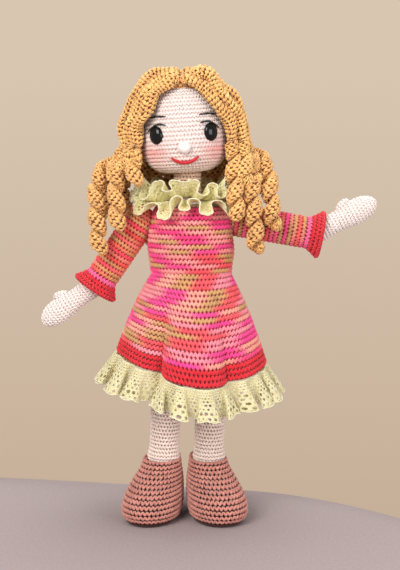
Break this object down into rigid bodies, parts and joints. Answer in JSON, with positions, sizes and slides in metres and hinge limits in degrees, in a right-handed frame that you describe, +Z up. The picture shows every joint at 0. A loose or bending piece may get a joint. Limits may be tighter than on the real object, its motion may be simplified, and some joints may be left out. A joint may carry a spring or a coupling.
{
  "type": "crocheted doll",
  "caption": "Stuffed crocheted doll with curly yarn hair, a flared dress with a gathered lace trim and collar, turning head, and arms that turn at shoulder and elbow.",
  "frame": {"origin": "middle of the bounding box in plan, on the plane that the shoe soles stand on", "axes": "+Z up, -Y the way the doll faces, +X to the right of someone who looks at its face"},
  "size_m": [0.2906, 0.1462, 0.3862],
  "materials": {
    "skin_yarn": "matt crocheted cotton yarn in pale skin colour",
    "hair_yarn": "soft twisted yarn in golden blond",
    "dress_yarn": "crocheted yarn, dyed in runs of pink, coral, peach and tan",
    "cuff_yarn": "crocheted yarn in plain red",
    "lace_cotton": "gathered cream cotton lace",
    "shoe_yarn": "crocheted chenille yarn in dusty rose",
    "sole_yarn": "dense crocheted sole in darker rose",
    "insole_card": "stiff grey-brown card",
    "eye_black": "polished black plastic",
    "washer_white": "plain white plastic",
    "black_thread": "thin black sewing thread",
    "nose_satin": "white satin stitch",
    "mouth_thread": "red embroidery floss",
    "dowel_wood": "plain beech dowel",
    "armature_wire": "bare steel wire"
  },
  "bodies": {
    "torso": {"torso": "skin_yarn", "neck": "skin_yarn", "neck_rod": "dowel_wood", "dress_bodice": "dress_yarn", "dress_skirt": "dress_yarn", "skirt_lace": "lace_cotton", "collar_ruffle_lower": "lace_cotton", "collar_ruffle_upper": "lace_cotton", "leg_left": "skin_yarn", "leg_right": "skin_yarn", "leg_rod_left": "dowel_wood", "leg_rod_right": "dowel_wood", "shoe_left": "shoe_yarn", "shoe_right": "shoe_yarn", "sole_left": "sole_yarn", "sole_right": "sole_yarn", "insole_left": "insole_card", "insole_right": "insole_card"},
    "head": {"head": "skin_yarn", "wig_cap": "hair_yarn", "eye_left": "eye_black", "eye_right": "eye_black", "eye_washer_left": "washer_white", "eye_washer_right": "washer_white", "eyelid_left": "black_thread", "eyelid_right": "black_thread", "brow_left": "black_thread", "brow_right": "black_thread", "nose": "nose_satin", "mouth": "mouth_thread", "hair_curl_left_1": "hair_yarn", "hair_curl_left_2": "hair_yarn", "hair_curl_left_3": "hair_yarn", "hair_curl_left_4": "hair_yarn", "hair_curl_left_5": "hair_yarn", "hair_curl_left_6": "hair_yarn", "hair_curl_left_7": "hair_yarn", "hair_curl_right_1": "hair_yarn", "hair_curl_right_2": "hair_yarn", "hair_curl_right_3": "hair_yarn", "hair_curl_right_4": "hair_yarn", "hair_curl_right_5": "hair_yarn", "hair_curl_right_6": "hair_yarn", "hair_curl_right_7": "hair_yarn"},
    "upper_arm_left": {"upper_arm_left": "skin_yarn", "sleeve_left": "dress_yarn", "cuff_left": "cuff_yarn", "arm_wire_left": "armature_wire"},
    "upper_arm_right": {"upper_arm_right": "skin_yarn", "sleeve_right": "dress_yarn", "cuff_right": "cuff_yarn", "arm_wire_right": "armature_wire"},
    "forearm_left": {"forearm_left": "skin_yarn", "thumb_left": "skin_yarn", "forearm_wire_left": "armature_wire"},
    "forearm_right": {"forearm_right": "skin_yarn", "thumb_right": "skin_yarn", "forearm_wire_right": "armature_wire"}
  },
  "joints": [
    {"name": "head_turn", "type": "hinge", "parent": "torso", "child": "head", "pos_m": [-0.01789, 0.00001, 0.286], "axis": [-0.0663, 0, 0.9978], "range_deg": [-25, 25], "deforming": ["hair_curl_left_1", "hair_curl_left_2", "hair_curl_left_3", "hair_curl_left_4", "hair_curl_left_5", "hair_curl_left_6", "hair_curl_left_7", "hair_curl_right_1", "hair_curl_right_2", "hair_curl_right_3", "hair_curl_right_4", "hair_curl_right_5", "hair_curl_right_6", "hair_curl_right_7"]},
    {"name": "shoulder_left", "type": "hinge", "parent": "torso", "child": "upper_arm_left", "pos_m": [-0.05889, 0.00001, 0.257], "axis": [0, 1, 0], "range_deg": [-8, 66]},
    {"name": "shoulder_right", "type": "hinge", "parent": "torso", "child": "upper_arm_right", "pos_m": [0.02711, 0.00001, 0.257], "axis": [0, -1, 0], "range_deg": [-54, 20]},
    {"name": "elbow_left", "type": "hinge", "parent": "upper_arm_left", "child": "forearm_left", "pos_m": [-0.09524, 0.00001, 0.20311], "axis": [0, 1, 0], "range_deg": [-20, 18]},
    {"name": "elbow_right", "type": "hinge", "parent": "upper_arm_right", "child": "forearm_right", "pos_m": [0.09112, 0.00001, 0.24571], "axis": [0, -1, 0], "range_deg": [-38, 0]}
  ]
}
